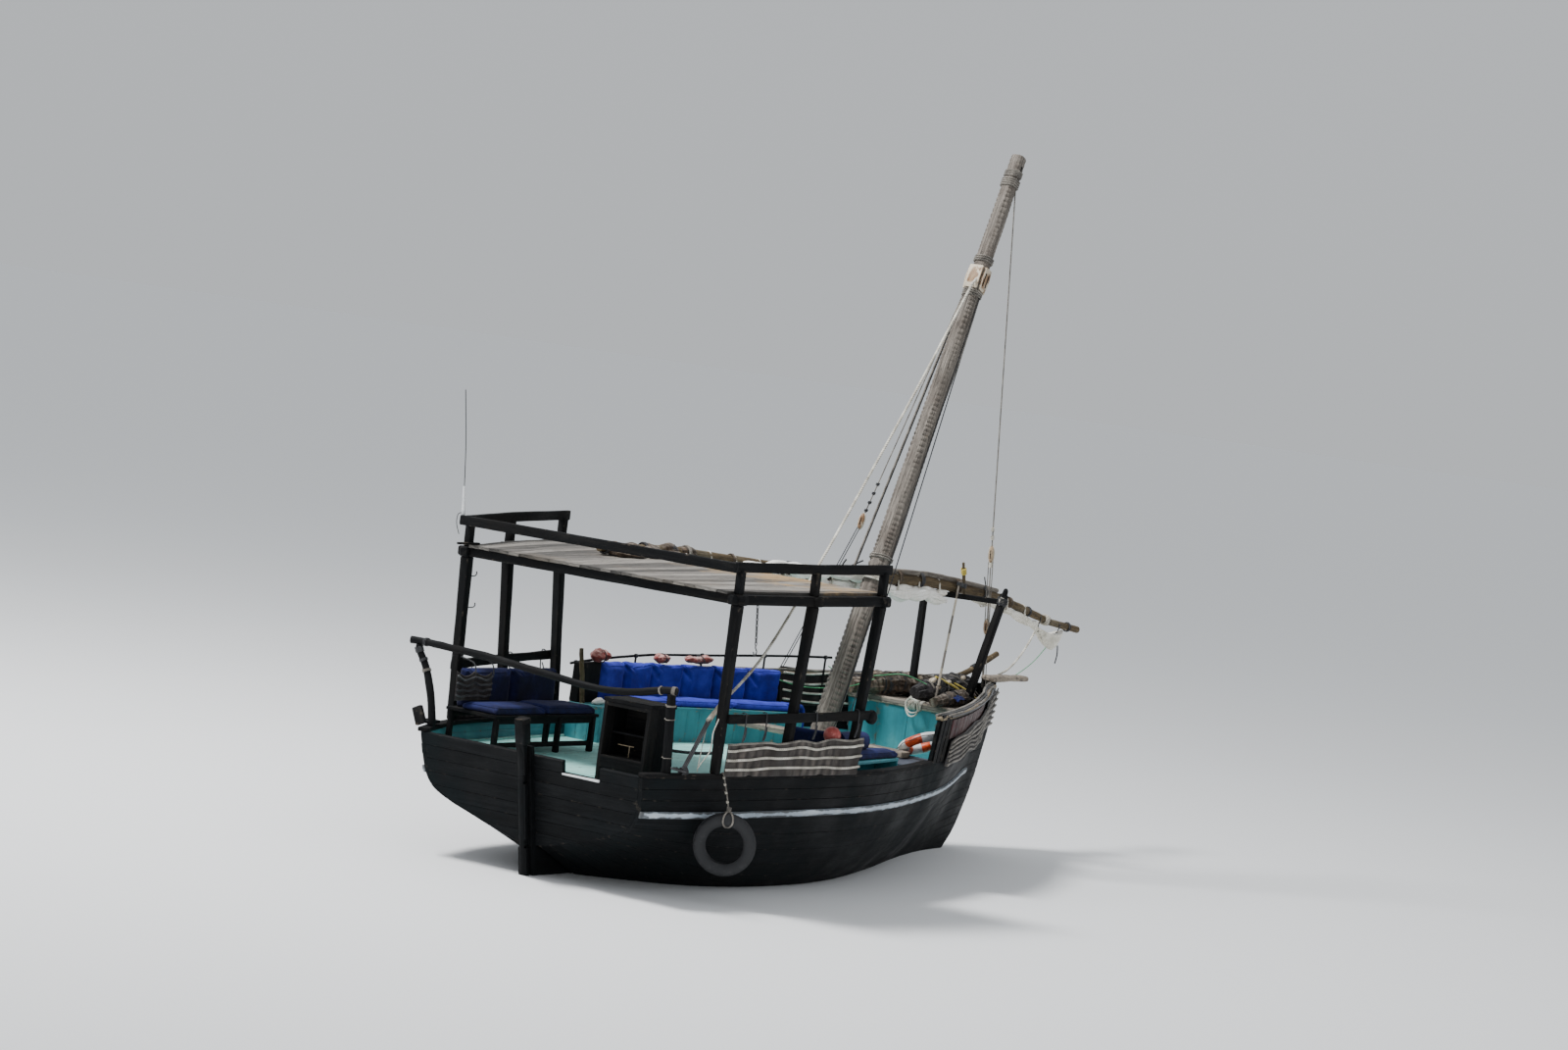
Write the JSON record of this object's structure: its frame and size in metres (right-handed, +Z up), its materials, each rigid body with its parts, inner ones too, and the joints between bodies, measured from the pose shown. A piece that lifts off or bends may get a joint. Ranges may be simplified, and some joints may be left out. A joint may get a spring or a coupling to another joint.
{
  "type": "dhow sailing boat",
  "caption": "Wooden lateen sailing boat with a raked transom, roofed seating aft, raised bow, forward-leaning mast and lowered yard.",
  "frame": {"origin": "on the centreline at the waterline, where the after edge of the rudder meets the water", "axes": "+X forward to the bow, +Y to port, +Z up; the boat floats upright"},
  "size_m": [11.3704, 4.25, 8.5894],
  "materials": {
    "tarred_timber": "tarred, weathered",
    "bare_timber": "bare, grey, weathered",
    "deck_paint": "worn pale aqua paint on planks",
    "teal_paint": "teal paint on boards",
    "stripe_paint": "worn blue-white paint",
    "blue_fabric": "matt canvas cover",
    "sail_cloth": "soft weathered cotton canvas",
    "pale_rope": "laid rope",
    "dark_rope": "tarred rope",
    "ribbed_mat": "woven mat with pale ribs",
    "yard_wood": "rough pole, lashed",
    "tyre_rubber": "old worn rubber",
    "white_fibreglass": "weathered white gel coat"
  },
  "bodies": {
    "root": {"hull_planking_port": "tarred_timber", "hull_planking_starboard": "tarred_timber", "keel": "tarred_timber", "stem_post": "tarred_timber", "stern_post": "tarred_timber", "transom": "tarred_timber", "rub_strake_port": "stripe_paint", "rub_strake_starboard": "stripe_paint", "gunwale_port": "tarred_timber", "gunwale_starboard": "tarred_timber", "bow_bulwark_port": "tarred_timber", "bow_bulwark_starboard": "tarred_timber", "main_deck": "deck_paint", "foredeck": "bare_timber", "foredeck_beam": "bare_timber", "foredeck_bulkhead": "teal_paint", "canopy_post_port_1": "tarred_timber", "canopy_post_port_2": "tarred_timber", "canopy_post_port_3": "tarred_timber", "canopy_post_starboard_1": "tarred_timber", "canopy_post_starboard_2": "tarred_timber", "canopy_post_starboard_3": "tarred_timber", "roof_frame": "tarred_timber", "roof_planks": "bare_timber", "roof_rail_port": "tarred_timber", "roof_rail_starboard": "tarred_timber", "roof_rail_aft": "tarred_timber", "side_rail_port": "tarred_timber", "side_rail_starboard": "tarred_timber", "side_mat_port": "ribbed_mat", "side_mat_starboard": "ribbed_mat", "quarter_post_port": "tarred_timber", "quarter_post_starboard": "tarred_timber", "stern_pole_rail": "tarred_timber", "stern_locker": "tarred_timber", "bench_port": "teal_paint", "bench_starboard": "teal_paint", "bench_aft": "teal_paint", "seat_cushions_port": "blue_fabric", "back_cushions_port": "blue_fabric", "seat_cushion_aft": "blue_fabric", "back_cushion_aft": "blue_fabric", "seat_cushion_starboard": "blue_fabric", "mast": "bare_timber", "mast_thwart": "bare_timber", "gallows": "tarred_timber", "forestay": "dark_rope", "backstay": "pale_rope", "port_shroud": "dark_rope", "bow_spar": "bare_timber", "bow_plank": "bare_timber", "tyre_fender": "tyre_rubber", "fender_line": "pale_rope", "sounding_pole": "bare_timber", "whip_antenna": "white_fibreglass"},
    "rudder": {"rudder": "tarred_timber"},
    "yard": {"yard": "yard_wood", "furled_sail": "sail_cloth", "sail_tack": "sail_cloth", "parrel": "pale_rope"}
  },
  "joints": [
    {"name": "rudder_swing", "type": "hinge", "parent": "root", "child": "rudder", "pos_m": [0.0337, 0, 0], "axis": [-0.2416, 0, 0.9704], "range_deg": [-40, 40]},
    {"name": "yard_hoist", "type": "slide", "parent": "root", "child": "yard", "axis": [0.3678, 0, 0.9299], "range_m": [0, 2.2]}
  ]
}
